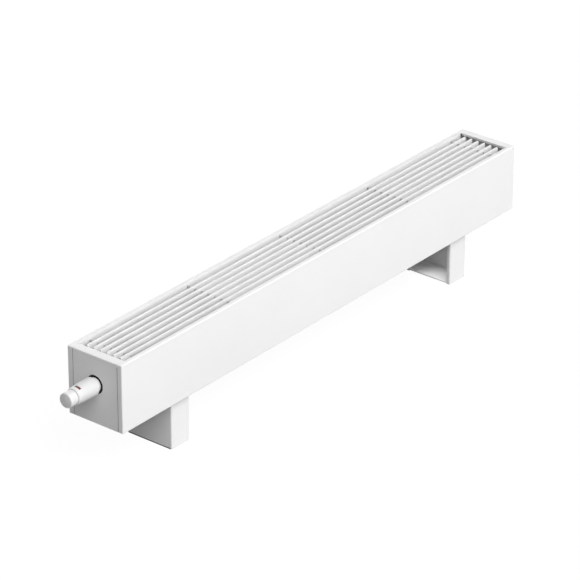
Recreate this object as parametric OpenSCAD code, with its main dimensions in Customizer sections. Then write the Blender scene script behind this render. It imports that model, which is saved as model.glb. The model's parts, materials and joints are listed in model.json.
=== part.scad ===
// Floor-standing convector: a long sheet-metal casing on two boxed feet, with a lift-out bar
// grille on top, a finned heat exchanger inside and a thermostatic valve at the near end.
// Millimetres. X runs along the casing, -Y is the front, Z = 0 is the floor.
// The valve head points towards -X.

/* [Casing] */
// Length of the casing
body_l = 1200; // [800:50:2000]
// Depth of the casing, front to back
body_d = 130; // [126:1:180]
// Height of the casing itself
body_h = 140; // [130:1:200]
// Sheet thickness of the panels
sheet_t = 1.2; // [1:0.1:2]
// Outside radius of the folded edges
bend_r = 2.2; // [2.1:0.1:4]
// Width of the folded lip along each long side of the grille opening
top_lip = 9; // [8:0.5:16]
// Gap between the folds along the long sides of that opening and the brackets below them
fold_gap = 2; // [1:0.5:6]
// Width of the folded lip along each long bottom edge
bottom_lip = 26; // [25:0.5:30]
// Width of the top at each end, from the end face to the grille opening
end_margin = 18.5; // [18:0.5:40]
// Height of the folds at the ends of the opening
end_fold = 4.5; // [3:0.5:8]
// Width of the front panel where it returns onto an end face
front_return = 10.3; // [8:0.1:11]
// Width of the back panel where it returns onto an end face
back_return = 11.8; // [8:0.1:14]
// Open joint between an end plate and the returns beside it
joint_gap = 1.4; // [0.8:0.1:2.5]
// Closed joint where two sheets meet on the top
tight_gap = 0.4; // [0.2:0.1:0.8]
// Height of the small tab at the top of each front return
tab_h = 6.5; // [4:0.5:10]
// Width of that tab
tab_w = 2; // [1:0.1:3]
// Depth of the stiffening folds behind the end joints
fold_in = 14; // [10:1:18]
// Width of the bottom lip of an end plate
end_bottom_lip = 12; // [8:1:16]

/* [Grille] */
// Number of long bars
bar_count = 6; // [4:1:8]
// Thickness of a bar
bar_t = 4; // [3:0.5:6]
// Height of a bar
bar_h = 14; // [12:1:18]
// How far the top of the bars lies below the top of the casing
grille_drop = 1.8; // [0.4:0.1:3]
// Gap between each end of a bar and the opening
bar_end_gap = 6.8; // [1:0.1:8]
// Number of cross rods
rod_count = 5; // [3:1:7]
// Diameter of a cross rod
rod_d = 3; // [2.5:0.5:3.5]
// Depth of the rod axis below the top of the bars
rod_drop = 7; // [5:0.5:8]
// Distance from an end face to the first rod
rod_inset = 52; // [45:1:90]
// Outside diameter of the spacers on the rods
spacer_d = 4.6; // [4.4:0.2:6]

/* [Feet] */
// Height of a foot, from the floor to the casing
foot_h = 100; // [60:5:150]
// Width of a foot along the casing
foot_w = 51; // [45:1:80]
// Distance from an end face to the closed side of the foot
foot_inset = 146; // [144:1:200]
// How far a foot stands back from the casing's front and back
foot_recess = 10.5; // [6:0.5:12]
// Sheet thickness of a foot
foot_t = 1.5; // [1.2:0.1:2.5]
// Outside radius of the foot's folded edges
foot_bend_r = 2.8; // [2.6:0.1:4]
// Width of the folds along the open side of a foot
foot_fold = 8; // [5:0.5:10]
// Width of the top flanges that the casing stands on
foot_flange = 14; // [12:0.5:15]
// Thickness of the foot's base plate
base_t = 2; // [1.5:0.5:4]
// Thickness of the rubber pad
pad_t = 2.4; // [2:0.2:5]
// How far the pad stops short of the foot's open side
pad_short = 12; // [6:1:20]
// How far the front and back walls stay off the floor
wall_lift = 0.6; // [0.3:0.1:1.5]

/* [Heat exchanger] */
// Outside diameter of the copper tubes
tube_d = 15; // [12:1:16]
// Wall of the copper tubes
tube_wall = 1; // [0.7:0.1:1.2]
// Distance between the front and back tubes
tube_dy = 52; // [46:1:60]
// Distance between the upper and lower tubes
tube_dz = 38; // [36:1:44]
// Thickness of a fin
fin_t = 0.4; // [0.3:0.1:0.8]
// Pitch of the fins
fin_pitch = 10; // [8:1:20]
// Depth of a fin, front to back
fin_d = 100; // [88:1:104]
// Height of a fin
fin_h = 70; // [66:1:76]
// Wall of the fin collars round the tubes
collar_wall = 0.6; // [0.4:0.1:1]
// Outside diameter of a header pipe
header_d = 26; // [24:1:27]
// Wall of a header pipe
header_wall = 2; // [1.5:0.5:2.5]

/* [Valve head] */
// Height of the valve axis above the bottom of the casing
valve_z = 81; // [76:1:84]
// Diameter of the hole in the end plate
hole_d = 38; // [37:0.5:44]
// Diameter of the head's collar in that hole
collar_d = 28; // [26:0.5:29]
// How far the collar shows outside the end face
collar_out = 7.5; // [5:0.5:15]
// Length of the sleeve
sleeve_l = 52.2; // [45:0.1:70]
// Largest diameter of the sleeve, near the collar
sleeve_d = 36.6; // [34:0.2:38]
// Diameter of the sleeve at the setting cap
sleeve_tip_d = 32.4; // [31:0.2:33.4]
// Gap between the sleeve and the setting cap
seam_gap = 1; // [0.6:0.1:2]
// Length of the setting cap
cap_l = 19.8; // [18:0.1:30]
// Diameter of the setting cap
cap_d = 29.4; // [28:0.2:30]
// Rounding of the cap's outer edge
cap_edge = 1.8; // [1:0.1:3]
// Rise of the cap's domed end
cap_dome = 1.2; // [0.4:0.1:2]
// Travel of the valve pin
pin_travel = 1.8; // [1.2:0.1:2.4]

/* [Fixings and fits] */
// Diameter of the machine screws
screw_d = 5; // [4:0.5:6]
// Diameter of the small joint screws
joint_screw_d = 3; // [2.5:0.5:3.5]
// Radial clearance round a turning or sliding shaft
run_gap = 0.08; // [0.02:0.01:0.1]
// Clearance round a fixed piece in its hole
fit_gap = 0.15; // [0.05:0.05:0.3]
// Clearance between pieces that come close as they move
near_gap = 0.3; // [0.2:0.05:0.5]
// Diameter of the threaded pipe ports
port_d = 18.6; // [17:0.1:19]
// Depth of the threaded pipe ports
port_depth = 12; // [8:1:12]

/* [Hidden] */
$fn = 64;

// Overrun of every cut
over = 1;

grille_bars = [for (i = [1:bar_count]) str("grille_bar_", i)];

// Levels and middles
casing_z = foot_h;
top_z = casing_z + body_h;
bar_z = top_z - grille_drop;
rest_z = bar_z - bar_h;
tab_z = top_z - tab_h;
mid_y = body_d / 2;

// Grille; the first and the last slot, beside the casing, are wider than the others
open_w = body_d - 2 * top_lip;
edge_slot_share = 1.2;
slot_w = (open_w - bar_count * bar_t) / (bar_count - 1 + 2 * edge_slot_share);
edge_slot_w = edge_slot_share * slot_w;
bar_pitch = slot_w + bar_t;
rod_pitch = (body_l - 2 * rod_inset) / (rod_count - 1);
rod_z = bar_z - rod_drop;
rod_y0 = top_lip + near_gap;

// End plates, between the returns on the end face and between the panels on the top
plate_y0 = front_return + joint_gap;
plate_y1 = body_d - back_return - joint_gap;
lip_y0 = front_return + tab_w + tight_gap;
lip_y1 = body_d - back_return - tight_gap;

// Seals in the end joints, set back a little from the end face
seal_x0 = 0.4;
seal_z0 = casing_z + sheet_t + fit_gap;

// Valve, along its axis, from the flange of the head's collar inwards
valve_y = mid_y;
head_flange_x = 9;
insert_x = 14;
insert_r = 15;
insert_thread_l = 10;
insert_hex_af = 28;
insert_hex_l = 4;
insert_nose_l = 6;
gland_l = 4;
gland_end_l = 4;
gland_r = 5.5;
body_x = insert_x + insert_thread_l + insert_hex_l;
chamber_x = body_x + insert_nose_l;
chamber_l = 16;
chamber_r = 9;
seat_x = chamber_x + chamber_l;
seat_l = 4;
seat_r = 5.5;
barrel_r = 14;
barrel_tail_l = 2;
barrel_end_x = seat_x + seat_l + barrel_tail_l;
spigot_r = 12.5;
spigot_l = 14;
way_r = 8;
branch_x = chamber_x + chamber_l / 2;
branch_l = 31;
branch_way_r = 7;
port_r = port_d / 2;
disc_r = 7;
disc_t = 3;
disc_x = seat_x - near_gap - disc_t;
pin_r = 1.6;
pin_x = 9.5;
pin_foot_r = 4;
pin_foot_l = 1.5;
pin_boss_r = 4.6;
pin_boss_l = 2;
pin_boss_x = insert_x + gland_l + pin_travel + near_gap;
spring_x0 = pin_boss_x + pin_boss_l;
spring_x1 = chamber_x - gland_end_l;
spring_wire_r = 0.45;
spring_r = 3.3;
spring_turns = 5;
spring_steps = 12;
spring_sides = 6;

// Head, from the casing outwards
collar_r = collar_d / 2;
collar_bore_r = 11.4;
collar_in = 6;
collar_web_l = 4;
head_flange_r = 14.8;
head_recess_r = 8;
grommet_x0 = 0.2;
grommet_lip = 2.5;
grommet_lip_t = 1.2;
head_nut_r = 17;
head_nut_lip = 2;
sleeve_x = -collar_out - sleeve_l;
sleeve_wall_l = 3;
sleeve_chamfer = 0.8;
sleeve_steps = 12;
sleeve_curve_share = 1.2;
cap_x = sleeve_x - seam_gap;
cap_end_x = cap_x - cap_l;
cap_wall = 2;
cap_steps = 8;
cap_stem_r = 7;
cap_stem_in = 2;
cap_stem_l = seam_gap + sleeve_wall_l + cap_stem_in;
capsule_r = 11.2;
capsule_x = cap_x + cap_stem_l + pin_travel + near_gap;
capsule_end_x = -collar_out - collar_in - near_gap;
push_pin_r = 2.5;

// Marks inlaid in the top of the sleeve, as angles from the top
mark_inset = 8.2;
mark_x = sleeve_x + mark_inset;
mark_w = 5;
mark_t = 0.8;
mark_proud = 0.1;
mark_fit = fit_gap / sleeve_r_at(mark_x) * 180 / PI;
mark_sweep = 21;
limit_start = -11;
index_start = 11;

// Unions between the valves and the headers
tail_x = barrel_end_x + spigot_l;
tail_r = 9;
tail_wall = 1.5;
tail_collar_r = 12;
tail_collar_l = 4;
tail_l = 24;
union_af = 30;
union_l = 16;
union_lip = 3;
union_x = tail_x + tail_collar_l + union_lip - union_l;

// Headers
header_r = header_d / 2;
header_x = tail_x + tail_l + header_r;
header_end = 14;
port_boss_r = 12;
port_boss_l = 6;
socket_r = 10;
socket_l = 8;

// Tubes, fins and brackets
tube_r = tube_d / 2;
upper_z = casing_z + valve_z;
lower_z = upper_z - tube_dz;
bend_z = (upper_z + lower_z) / 2;
front_y = mid_y - tube_dy / 2;
back_y = mid_y + tube_dy / 2;
tube_places = [[front_y, upper_z], [back_y, upper_z], [front_y, lower_z], [back_y, lower_z]];
bracket_t = 1.5;
bracket_flange = 15;
bracket_cut = 20;
bracket_clear = 4;
bracket_x = header_x + header_r + socket_l + bracket_clear;
far_bracket_inset = 66;
fin_gap = 4;
fin_z0 = bend_z - fin_h / 2;
fin_x0 = bracket_x + bracket_t + fin_gap;
fin_room = body_l - far_bracket_inset - bracket_t - fin_gap - fin_x0;
fin_count = floor(fin_room / fin_pitch) + 1;
fin_block_l = (fin_count - 1) * fin_pitch + fin_t;
tube_x0 = header_x + header_r;
bell_l = 10;
bell_wall = 1;
tube_x1 = body_l - far_bracket_inset + bell_l + fin_gap;
bridge_w = 20;
bridge_t = 2;
bridge_drop = 10;

// Lockshield, upright beside the valve
lock_x = branch_x;
lock_dy = 28;
lock_y = valve_y + lock_dy;
lock_r = 13;
lock_rise = 18;
lock_top_z = lower_z + lock_rise;
lock_drop = 28;
lock_bottom_z = lower_z - lock_drop;
lock_seat_z = lock_bottom_z + port_depth;
lock_seat_l = 3;
lock_travel = 3;
lock_plug_r = 7;
lock_plug_t = 3;
lock_plug_z = lock_seat_z + lock_seat_l + near_gap + lock_travel;
lock_pin_r = 3;
bonnet_r = 8;
bonnet_nose_l = 6;
bonnet_af = 19;
bonnet_hex_l = 6;
bonnet_top_l = 4;
lock_pin_out = 4;
lock_slot_w = 1;
lock_cap_r = 13.4;
lock_cap_wall = 1.6;
lock_cap_l = 22;

// Air vent on top of the supply header; its heights share the room under the grille
vent_y = back_y;
vent_clear = 1.5;
vent_room = rest_z - upper_z - header_r - vent_clear;
vent_boss_share = 0.14;
vent_hex_share = 0.28;
vent_head_share = 0.175;
vent_boss_r = 8;
vent_boss_l = vent_boss_share * vent_room;
vent_thread_r = 5;
vent_thread_l = vent_boss_l + header_wall / 2;
vent_af = 12;
vent_hex_l = vent_hex_share * vent_room;
vent_screw_r = 2.5;
vent_head_af = 7;
vent_head_l = vent_head_share * vent_room;
vent_boss_z = upper_z + header_r + vent_boss_l;

// Screws and nuts
screw_r = screw_d / 2;
screw_head_share = 0.9;
screw_head_l_share = 0.5;
nut_af_share = 1.6;
nut_l_share = 0.8;
screw_edge = 13;
foot_screw_y = foot_recess + foot_flange / 2;
foot_screw_l = foot_t + sheet_t + nut_l_share * screw_d + over;
bracket_screw_l = sheet_t + bracket_t + screw_d / 2;
joint_screw_r = joint_screw_d / 2;
joint_screw_l = joint_gap + 2 * sheet_t + joint_screw_d;
joint_screw_x = fold_in / 2;
joint_screw_rise = 25;

function both_ends(xs) = concat(xs, [for (x = xs) body_l - x]);
long_edge_y = [foot_screw_y, body_d - foot_screw_y];
foot_screw_places = [
    for (x = both_ends([foot_inset + screw_edge, foot_inset + foot_w - screw_edge]))
        for (y = long_edge_y) [x, y]];
bracket_screw_places = [
    for (x = [bracket_x - bracket_flange / 2, body_l - far_bracket_inset + bracket_flange / 2])
        for (y = long_edge_y) [x, y]];
joint_screw_levels = [casing_z + joint_screw_rise, top_z - 2 * joint_screw_rise];

// Every piece is drawn from the near end face and the front face, then moved so that the
// origin is the middle of the whole object at floor level.
module in_place() {
    translate([(-cap_end_x - body_l) / 2, -mid_y, 0]) children();
}

module block(from, to) {
    translate(from) cube(to - from);
}

module rod_x(x, y, z, r, l) {
    translate([x, y, z]) rotate([0, 90, 0]) cylinder(r = r, h = l);
}

module rod_y(x, y, z, r, l) {
    translate([x, y, z]) rotate([-90, 0, 0]) cylinder(r = r, h = l);
}

module rod_z(x, y, z, r, l) {
    translate([x, y, z]) cylinder(r = r, h = l);
}

// Six-sided prisms, given across their flats
module hex_x(x, y, z, af, l) {
    translate([x, y, z]) rotate([0, 90, 0]) cylinder(d = af / cos(30), h = l, $fn = 6);
}

module hex_z(x, y, z, af, l) {
    translate([x, y, z]) cylinder(d = af / cos(30), h = l, $fn = 6);
}

module rounded_rect(w, h, r) {
    translate([r, 0]) square([w - 2 * r, h]);
    translate([0, r]) square([w, h - 2 * r]);
    for (x = [r, w - r], y = [r, h - r]) translate([x, y]) circle(r = r);
}

// Box with all its edges rounded
module rounded_box(l, d, h, r) {
    intersection() {
        linear_extrude(h) rounded_rect(l, d, r);
        rotate([90, 0, 90]) linear_extrude(l) rounded_rect(d, h, r);
        translate([0, d, 0]) rotate([90, 0, 0]) linear_extrude(d) rounded_rect(l, h, r);
    }
}

// The whole folded skin, before it is split into panels
module casing_skin() {
    translate([0, 0, casing_z]) difference() {
        rounded_box(body_l, body_d, body_h, bend_r);
        translate([sheet_t, sheet_t, sheet_t])
            rounded_box(
                body_l - 2 * sheet_t, body_d - 2 * sheet_t, body_h - 2 * sheet_t,
                bend_r - sheet_t);
    }
}

// Draws a piece of the near end at the far end
module at_far_end() {
    translate([body_l, 0, 0]) mirror([1, 0, 0]) children();
}

module at_both_ends() {
    children();
    at_far_end() children();
}

// Swaps front and back
module at_back() {
    translate([0, body_d, 0]) mirror([0, 1, 0]) children();
}

// The part of the skin that one long panel takes; ret is the width of its end returns
module panel_zone(ret) {
    block([-over, -over, casing_z - over], [body_l + over, min(ret, top_lip), top_z + over]);
    at_both_ends() block([-over, -over, casing_z - over], [end_margin, ret, top_z + over]);
    block([end_margin, -over, top_z - bend_r], [body_l - end_margin, top_lip, top_z + over]);
    block(
        [end_bottom_lip + joint_gap, -over, casing_z - over],
        [body_l - end_bottom_lip - joint_gap, bottom_lip, casing_z + bend_r]);
}

// The fold along the grille opening and the folds behind the end joints
module panel_folds(ret) {
    block(
        [end_margin + tight_gap, top_lip - sheet_t, rest_z + fold_gap],
        [body_l - end_margin - tight_gap, top_lip, top_z - sheet_t / 2]);
    at_both_ends()
        block(
            [sheet_t / 2, ret - sheet_t, casing_z + sheet_t / 2],
            [fold_in, ret, top_z - sheet_t / 2]);
}

module front_tabs() {
    at_both_ends() intersection() {
        casing_skin();
        block(
            [-over, front_return - sheet_t, tab_z],
            [end_margin, front_return + tab_w, top_z + over]);
    }
}

module joint_screw_holes(gap) {
    at_both_ends() for (z = joint_screw_levels) {
        rod_y(joint_screw_x, front_return - fold_in / 2, z, joint_screw_r + gap, fold_in);
        rod_y(joint_screw_x, plate_y1 - fold_in / 2, z, joint_screw_r + gap, fold_in);
    }
}

module panel_holes() {
    for (p = concat(foot_screw_places, bracket_screw_places))
        rod_z(p[0], p[1], casing_z - over, screw_r + fit_gap, sheet_t + 2 * over);
    joint_screw_holes(fit_gap);
}

module front_panel() {
    color("white") in_place() difference() {
        union() {
            intersection() {
                casing_skin();
                panel_zone(front_return);
            }
            panel_folds(front_return);
            front_tabs();
        }
        panel_holes();
    }
}

module back_panel() {
    color("white") in_place() difference() {
        at_back() {
            intersection() {
                casing_skin();
                panel_zone(back_return);
            }
            panel_folds(back_return);
        }
        panel_holes();
    }
}

// End plate of the near end, without the valve's hole
module end_plate() {
    difference() {
        union() {
            intersection() {
                casing_skin();
                union() {
                    block([-over, plate_y0, casing_z - over], [bend_r, plate_y1, top_z + over]);
                    block([-over, lip_y0, top_z - bend_r], [end_margin, lip_y1, top_z + over]);
                    block(
                        [-over, plate_y0, casing_z - over],
                        [end_bottom_lip, plate_y1, casing_z + bend_r]);
                }
            }
            block(
                [end_margin - sheet_t, lip_y0, top_z - end_fold],
                [end_margin, lip_y1, top_z - sheet_t / 2]);
            for (y = [plate_y0, plate_y1 - sheet_t])
                block(
                    [sheet_t / 2, y, casing_z + sheet_t / 2],
                    [fold_in, y + sheet_t, tab_z - tight_gap]);
        }
        block([-over, -over, tab_z - tight_gap], [end_margin + over, lip_y0, top_z + over]);
        joint_screw_holes(fit_gap);
    }
}

module valve_end_plate() {
    color("gainsboro") in_place() difference() {
        end_plate();
        rod_x(-over, valve_y, upper_z, hole_d / 2, sheet_t + 2 * over);
    }
}

module far_end_plate() {
    color("gainsboro") in_place() at_far_end() end_plate();
}

// Rubber strips between the folds of the panels and those of the end plates
module joint_seals() {
    color([0.1, 0.1, 0.1]) in_place() difference() {
        at_both_ends() {
            block(
                [seal_x0, front_return + fit_gap, seal_z0],
                [fold_in, plate_y0 - fit_gap, tab_z - tight_gap]);
            block(
                [seal_x0, plate_y1 + fit_gap, seal_z0],
                [fold_in, body_d - back_return - fit_gap, top_z - bend_r - fit_gap]);
        }
        joint_screw_holes(fit_gap);
    }
}

// Grille
function bar_y(i) = top_lip + edge_slot_w + (i - 1) * bar_pitch;
function slot_y(i) = i == 0 ? top_lip : bar_y(i) + bar_t;
function slot_l(i) = i == 0 || i == bar_count ? edge_slot_w : slot_w;
function rod_at(k) = rod_inset + k * rod_pitch;

module grille_bar(i) {
    color("white") in_place() difference() {
        block(
            [end_margin + bar_end_gap, bar_y(i), rest_z],
            [body_l - end_margin - bar_end_gap, bar_y(i) + bar_t, bar_z]);
        for (k = [0:rod_count - 1])
            rod_y(rod_at(k), bar_y(i) - over, rod_z, rod_d / 2 + fit_gap, bar_t + 2 * over);
    }
}

module grille_rods() {
    color("dimgray") in_place()
        for (k = [0:rod_count - 1])
            rod_y(rod_at(k), rod_y0, rod_z, rod_d / 2, body_d - 2 * rod_y0);
}

module grille_spacers() {
    color("lightgray") in_place()
        for (k = [0:rod_count - 1], i = [0:bar_count]) difference() {
            rod_y(
                rod_at(k), slot_y(i) + near_gap, rod_z, spacer_d / 2,
                slot_l(i) - 2 * near_gap);
            rod_y(rod_at(k), slot_y(i), rod_z, rod_d / 2 + fit_gap, slot_l(i));
        }
}

// Brackets that hold the exchanger and carry the grille, with their flanges towards -X
module bracket(x) {
    y0 = sheet_t + fit_gap;
    z0 = casing_z + sheet_t;
    difference() {
        union() {
            block([x, y0, z0], [x + bracket_t, body_d - y0, rest_z]);
            block(
                [x - bracket_flange, y0, rest_z - bracket_t],
                [x + bracket_t, body_d - y0, rest_z]);
            block(
                [x - bracket_flange, y0, z0],
                [x + bracket_t, body_d - y0, z0 + bracket_t]);
        }
        block(
            [x - bracket_flange - over, bottom_lip, z0 - over],
            [x + bracket_t + over, body_d - bottom_lip, z0 + bracket_cut]);
        for (p = tube_places)
            rod_x(x - over, p[0], p[1], tube_r + fit_gap, bracket_t + 2 * over);
        for (y = long_edge_y)
            rod_z(
                x - bracket_flange / 2, y, z0 - over, screw_r + fit_gap,
                bracket_t + 2 * over);
    }
}

module near_bracket() {
    color("silver") in_place() bracket(bracket_x);
}

module far_bracket() {
    color("silver") in_place() at_far_end() bracket(far_bracket_inset);
}

// Strap under the middle of the grille, between the panels
module grille_bridge() {
    color("silver") in_place() translate([(body_l - bridge_w) / 2, sheet_t, rest_z]) {
        span = body_d - 2 * sheet_t;
        block([0, 0, -bridge_t], [bridge_w, span, 0]);
        block([0, 0, -bridge_drop], [bridge_w, bridge_t, 0]);
        block([0, span - bridge_t, -bridge_drop], [bridge_w, span, 0]);
    }
}

// Heat exchanger
module fin_block() {
    color("lightgray") in_place() difference() {
        union() {
            for (i = [0:fin_count - 1])
                translate([fin_x0 + i * fin_pitch, mid_y - fin_d / 2, fin_z0])
                    cube([fin_t, fin_d, fin_h]);
            for (p = tube_places)
                rod_x(fin_x0, p[0], p[1], tube_r + fit_gap + collar_wall, fin_block_l);
        }
        for (p = tube_places)
            rod_x(fin_x0 - over, p[0], p[1], tube_r + fit_gap, fin_block_l + 2 * over);
    }
}

module copper_tube(p) {
    color([0.72, 0.45, 0.2]) in_place() difference() {
        rod_x(tube_x0, p[0], p[1], tube_r, tube_x1 - tube_x0);
        rod_x(tube_x0 - over, p[0], p[1], tube_r - tube_wall, tube_x1 - tube_x0 + 2 * over);
    }
}

module half_ring(y, r) {
    translate([tube_x1, y, bend_z]) rotate([90, 90, 0])
        rotate_extrude(angle = 180) translate([tube_dz / 2, 0]) circle(r = r);
}

// Bend that joins an upper tube to the lower tube under it, with a bell over each tube end
module return_bend(y) {
    color([0.72, 0.45, 0.2]) in_place() {
        difference() {
            half_ring(y, tube_r);
            half_ring(y, tube_r - tube_wall);
        }
        for (z = [upper_z, lower_z]) difference() {
            rod_x(tube_x1 - bell_l, y, z, tube_r + fit_gap + bell_wall, bell_l + bell_wall);
            rod_x(tube_x1 - bell_l - over, y, z, tube_r + fit_gap, bell_l + over);
            rod_x(tube_x1 - over, y, z, tube_r - tube_wall, bell_wall + 2 * over);
        }
    }
}

// Header pipe along Y, with a socket for each tube and a port at port_y for the union tail
module header(z, port_y, y1) {
    y0 = front_y - header_end;
    difference() {
        union() {
            rod_y(header_x, y0, z, header_r, y1 - y0);
            for (y = [front_y, back_y])
                rod_x(header_x, y, z, socket_r, header_r + socket_l);
            rod_x(
                header_x - header_r - port_boss_l, port_y, z, port_boss_r,
                header_r + port_boss_l);
        }
        rod_y(header_x, y0 + header_wall, z, header_r - header_wall, y1 - y0 - 2 * header_wall);
        for (y = [front_y, back_y]) {
            rod_x(header_x, y, z, tube_r - tube_wall, header_r + over);
            rod_x(tube_x0, y, z, tube_r + fit_gap, socket_l + over);
        }
        rod_x(header_x - header_r - over, port_y, z, tail_r - tail_wall, header_r + over);
        rod_x(
            header_x - header_r - port_boss_l - over, port_y, z, tail_r + fit_gap,
            port_boss_l + over);
    }
}

module supply_header() {
    color("goldenrod") in_place() difference() {
        union() {
            header(upper_z, valve_y, back_y + header_end);
            difference() {
                rod_z(header_x, vent_y, upper_z, vent_boss_r, vent_boss_z - upper_z);
                rod_y(
                    header_x, vent_y - header_d, upper_z, header_r - header_wall, 2 * header_d);
            }
        }
        rod_z(header_x, vent_y, upper_z, vent_screw_r, vent_boss_z - upper_z + over);
        rod_z(
            header_x, vent_y, vent_boss_z - vent_thread_l, vent_thread_r + fit_gap,
            vent_thread_l + over);
    }
}

module return_header() {
    color("goldenrod") in_place() header(lower_z, lock_y, lock_y + header_end);
}

module vent_body() {
    color("goldenrod") in_place() difference() {
        union() {
            hex_z(header_x, vent_y, vent_boss_z, vent_af, vent_hex_l);
            rod_z(
                header_x, vent_y, vent_boss_z - vent_thread_l, vent_thread_r,
                vent_thread_l + over);
        }
        rod_z(
            header_x, vent_y, vent_boss_z - vent_thread_l - over, vent_screw_r + run_gap,
            vent_thread_l + vent_hex_l + 2 * over);
    }
}

module vent_screw() {
    color("silver") in_place() {
        rod_z(
            header_x, vent_y, vent_boss_z - vent_thread_l, vent_screw_r,
            vent_thread_l + vent_hex_l + near_gap + vent_head_l);
        translate([header_x, vent_y, vent_boss_z + vent_hex_l + near_gap])
            linear_extrude(vent_head_l) square(vent_head_af, center = true);
    }
}

// Thermostatic valve
module valve_body() {
    color("silver") in_place() difference() {
        union() {
            rod_x(body_x, valve_y, upper_z, barrel_r, barrel_end_x - body_x);
            rod_x(body_x, valve_y, upper_z, spigot_r, tail_x - body_x);
            rod_z(branch_x, valve_y, upper_z - branch_l, spigot_r, branch_l);
        }
        rod_x(body_x - over, valve_y, upper_z, chamber_r, seat_x - body_x + over);
        rod_x(seat_x - over, valve_y, upper_z, seat_r, seat_l + 2 * over);
        rod_x(seat_x + seat_l, valve_y, upper_z, way_r, tail_x - seat_x);
        rod_z(branch_x, valve_y, upper_z - branch_l, branch_way_r, branch_l);
        rod_z(branch_x, valve_y, upper_z - branch_l - over, port_r, port_depth + over);
    }
}

module valve_insert() {
    color("goldenrod") in_place() difference() {
        union() {
            rod_x(insert_x, valve_y, upper_z, insert_r, insert_thread_l);
            hex_x(
                insert_x + insert_thread_l, valve_y, upper_z, insert_hex_af, insert_hex_l);
            rod_x(insert_x, valve_y, upper_z, chamber_r - fit_gap, chamber_x - insert_x);
        }
        rod_x(insert_x - over, valve_y, upper_z, pin_r + run_gap, chamber_x - insert_x + 2 * over);
        rod_x(insert_x + gland_l, valve_y, upper_z, gland_r, spring_x1 - insert_x - gland_l);
    }
}

module valve_pin() {
    color("silver") in_place() {
        rod_x(pin_x, valve_y, upper_z, pin_r, disc_x - pin_x);
        rod_x(pin_boss_x, valve_y, upper_z, pin_boss_r, pin_boss_l);
        rod_x(disc_x - pin_foot_l, valve_y, upper_z, pin_foot_r, pin_foot_l);
    }
}

module valve_disc() {
    color([0.1, 0.1, 0.1]) in_place() rod_x(disc_x, valve_y, upper_z, disc_r, disc_t);
}

// One ring of the spring's wire, at step k of its helix along Z
function spring_ring(k, length) =
    let (
        a = 360 * k / spring_steps,
        rise = length - 2 * spring_wire_r,
        s = spring_wire_r + rise * k / (spring_turns * spring_steps))
    [for (j = [0:spring_sides - 1])
        let (
            b = 360 * j / spring_sides,
            r = spring_r + spring_wire_r * cos(b))
        [r * cos(a), r * sin(a), s + spring_wire_r * sin(b)]];

module spring_wire(length) {
    last = spring_turns * spring_steps;
    n = spring_sides;
    points = [for (k = [0:last]) each spring_ring(k, length)];
    sides = [
        for (k = [0:last - 1], j = [0:n - 1])
            let (a = k * n + j, b = k * n + (j + 1) % n)
            each [[a, b, b + n], [a, b + n, a + n]]];
    near_end = [[for (j = [0:n - 1]) n - 1 - j]];
    far_end = [[for (j = [0:n - 1]) last * n + j]];
    polyhedron(points, concat(sides, near_end, far_end));
}

module return_spring() {
    color("silver") in_place()
        translate([spring_x0, valve_y, upper_z]) rotate([0, 90, 0])
            spring_wire(spring_x1 - spring_x0);
}

// Unions: a tail held against the valve's spigot by a nut
module union_tail(y, z) {
    difference() {
        union() {
            rod_x(tail_x, y, z, tail_collar_r, tail_collar_l);
            rod_x(tail_x, y, z, tail_r, tail_l);
        }
        rod_x(tail_x - over, y, z, tail_r - tail_wall, tail_l + 2 * over);
    }
}

module union_nut(y, z) {
    difference() {
        hex_x(union_x, y, z, union_af, union_l);
        rod_x(union_x - over, y, z, spigot_r + fit_gap, union_l - union_lip + over);
        rod_x(union_x, y, z, tail_r + fit_gap, union_l + over);
    }
}

module union_tails() {
    color("goldenrod") in_place() {
        union_tail(valve_y, upper_z);
        union_tail(lock_y, lower_z);
    }
}

module union_nuts() {
    color("silver") in_place() {
        union_nut(valve_y, upper_z);
        union_nut(lock_y, lower_z);
    }
}

// Lockshield valve on the return
module lockshield_body() {
    color("silver") in_place() difference() {
        union() {
            rod_z(lock_x, lock_y, lock_bottom_z, lock_r, lock_top_z - lock_bottom_z);
            rod_x(lock_x, lock_y, lower_z, spigot_r, tail_x - lock_x);
        }
        rod_z(lock_x, lock_y, lock_bottom_z - over, port_r, port_depth + over);
        rod_z(lock_x, lock_y, lock_bottom_z, seat_r, port_depth + lock_seat_l + over);
        rod_z(
            lock_x, lock_y, lock_seat_z + lock_seat_l, chamber_r,
            lock_top_z - bonnet_nose_l - lock_seat_z - lock_seat_l);
        rod_z(
            lock_x, lock_y, lock_top_z - bonnet_nose_l - over, bonnet_r + fit_gap,
            bonnet_nose_l + 2 * over);
        rod_x(lock_x, lock_y, lower_z, way_r, tail_x - lock_x + over);
    }
}

module lockshield_bonnet() {
    color("goldenrod") in_place() difference() {
        union() {
            rod_z(
                lock_x, lock_y, lock_top_z - bonnet_nose_l, bonnet_r,
                bonnet_nose_l + bonnet_hex_l + bonnet_top_l);
            hex_z(lock_x, lock_y, lock_top_z, bonnet_af, bonnet_hex_l);
        }
        rod_z(
            lock_x, lock_y, lock_top_z - bonnet_nose_l - over, lock_pin_r + run_gap,
            bonnet_nose_l + bonnet_hex_l + bonnet_top_l + 2 * over);
    }
}

module lockshield_spindle() {
    z0 = lock_plug_z + lock_plug_t + near_gap;
    z1 = lock_top_z + bonnet_hex_l + bonnet_top_l + lock_pin_out;
    color("goldenrod") in_place() difference() {
        rod_z(lock_x, lock_y, z0, lock_pin_r, z1 - z0);
        block(
            [lock_x - lock_slot_w / 2, lock_y - lock_pin_r - over, z1 - lock_pin_out / 2],
            [lock_x + lock_slot_w / 2, lock_y + lock_pin_r + over, z1 + over]);
    }
}

module lockshield_plug() {
    color([0.1, 0.1, 0.1]) in_place()
        rod_z(lock_x, lock_y, lock_plug_z, lock_plug_r, lock_plug_t);
}

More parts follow.
